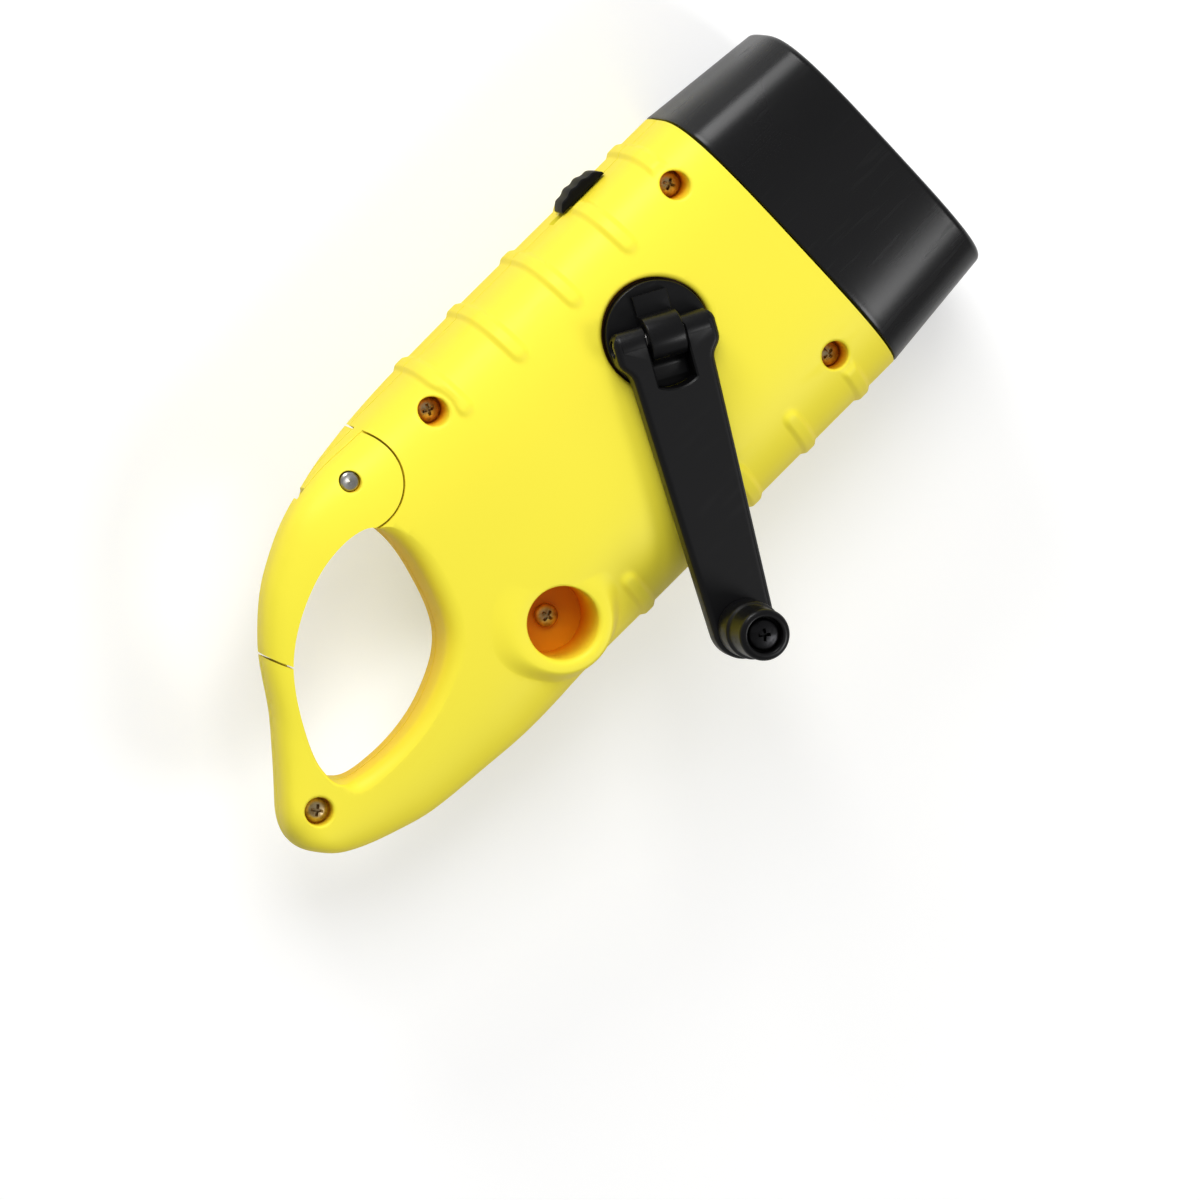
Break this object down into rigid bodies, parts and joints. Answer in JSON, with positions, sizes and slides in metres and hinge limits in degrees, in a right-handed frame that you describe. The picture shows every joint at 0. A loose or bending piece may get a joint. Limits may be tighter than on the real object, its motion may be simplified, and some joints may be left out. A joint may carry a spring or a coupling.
{
  "type": "solar dynamo flashlight",
  "caption": "Hand-crank and solar flashlight: oblong housing with a head bezel, folding crank, geared dynamo, solar panel, side switch and a snap-hook tail.",
  "frame": {"origin": "on the flat land of the solar-side face, between the solar window and the hook's eye, on the centreline", "axes": "+X to the lens, +Y to the switch and gate side, +Z out of the crank face"},
  "size_m": [0.1308, 0.0638, 0.0499],
  "materials": {
    "yellow_plastic": "moulded ABS, semi-gloss",
    "black_satin_plastic": "satin moulded ABS",
    "black_crank_plastic": "moulded nylon, low gloss",
    "black_gloss_plastic": "moulded, glossy",
    "zinc_screw_steel": "yellow zinc plated screw steel",
    "steel": "plain bright steel",
    "black_steel": "black oxide steel",
    "brass": "turned",
    "clear_lens": "clear polycarbonate",
    "clear_window": "clear polycarbonate",
    "mirror_reflector": "vacuum metallised",
    "lamp_epoxy": "clear epoxy",
    "circuit_board": "solder mask",
    "solar_cell": "silicon cell, dark blue",
    "battery_sleeve": "shrink sleeve",
    "white_nylon": "moulded acetal",
    "copper_winding": "enamelled copper wire",
    "ferrite_magnet": "sintered ferrite"
  },
  "bodies": {
    "housing": {"crank_side_shell": "yellow_plastic", "solar_side_shell": "yellow_plastic", "shell_screw_1": "zinc_screw_steel", "shell_screw_2": "zinc_screw_steel", "shell_screw_3": "zinc_screw_steel", "shell_screw_4": "zinc_screw_steel", "shell_screw_5": "zinc_screw_steel", "head_bezel": "black_satin_plastic", "front_lens": "clear_lens", "reflector": "mirror_reflector", "lamp_board": "circuit_board", "lamp_1": "lamp_epoxy", "lamp_2": "lamp_epoxy", "lamp_3": "lamp_epoxy", "solar_window": "clear_window", "solar_cell": "solar_cell", "battery_pack": "battery_sleeve", "main_board": "circuit_board", "slide_switch_body": "steel", "gear_plate": "steel", "gear_plate_screw_1": "steel", "gear_plate_screw_2": "steel", "gear_plate_screw_3": "steel", "gear_plate_screw_4": "steel", "axle_2": "steel", "axle_3": "steel", "stator_coil": "copper_winding", "stator_cup": "steel", "hub_bush": "brass", "gate_pin": "steel", "gate_spring": "steel"},
    "crank_hub_body": {"crank_hub": "black_gloss_plastic", "drive_gear": "white_nylon", "hub_clip": "steel", "hinge_pin": "steel"},
    "crank_arm_body": {"crank_arm": "black_crank_plastic", "knob_screw": "black_steel"},
    "crank_knob_body": {"crank_knob": "black_gloss_plastic"},
    "gear_2_body": {"compound_gear_2": "white_nylon"},
    "gear_3_body": {"compound_gear_3": "white_nylon"},
    "rotor_body": {"rotor_pinion": "steel", "rotor_magnet": "ferrite_magnet"},
    "gate_body": {"hook_gate": "yellow_plastic"},
    "slider_body": {"switch_slider": "black_gloss_plastic"}
  },
  "joints": [
    {"name": "hub_spin", "type": "hinge", "parent": "housing", "child": "crank_hub_body", "pos_m": [0.0246, 0.0056, 0.034], "axis": [0, 0, 1], "continuous": true},
    {"name": "crank_fold", "type": "hinge", "parent": "crank_hub_body", "child": "crank_arm_body", "pos_m": [0.0246, 0.0056, 0.0367], "axis": [-0.8829, 0.4695, 0], "range_deg": [0, 180]},
    {"name": "knob_spin", "type": "hinge", "parent": "crank_arm_body", "child": "crank_knob_body", "pos_m": [0.00427, -0.03263, 0.044], "axis": [0, 0, 1], "continuous": true},
    {"name": "gear_2_spin", "type": "hinge", "parent": "housing", "child": "gear_2_body", "pos_m": [0.00768, -0.00056, 0.022], "axis": [0, 0, 1], "continuous": true},
    {"name": "gear_3_spin", "type": "hinge", "parent": "housing", "child": "gear_3_body", "pos_m": [0.02133, -0.00843, 0.019], "axis": [0, 0, 1], "continuous": true},
    {"name": "rotor_spin", "type": "hinge", "parent": "housing", "child": "rotor_body", "pos_m": [0.03109, -0.00024, 0.015], "axis": [0, 0, 1], "continuous": true},
    {"name": "gate_swing", "type": "hinge", "parent": "housing", "child": "gate_body", "pos_m": [-0.02131, 0.0209, 0.022], "axis": [0, 0, 1], "range_deg": [0, 25], "stiffness_Nm_per_rad": 0.02, "springref_deg": -17.19},
    {"name": "switch_slide", "type": "slide", "parent": "housing", "child": "slider_body", "axis": [-1, 0, 0], "range_m": [0, 0.004]}
  ],
  "couplings": [
    {"joint": "gear_2_spin", "follows": "hub_spin", "ratio": -3},
    {"joint": "gear_3_spin", "follows": "hub_spin", "ratio": 7.5},
    {"joint": "rotor_spin", "follows": "hub_spin", "ratio": -18}
  ]
}
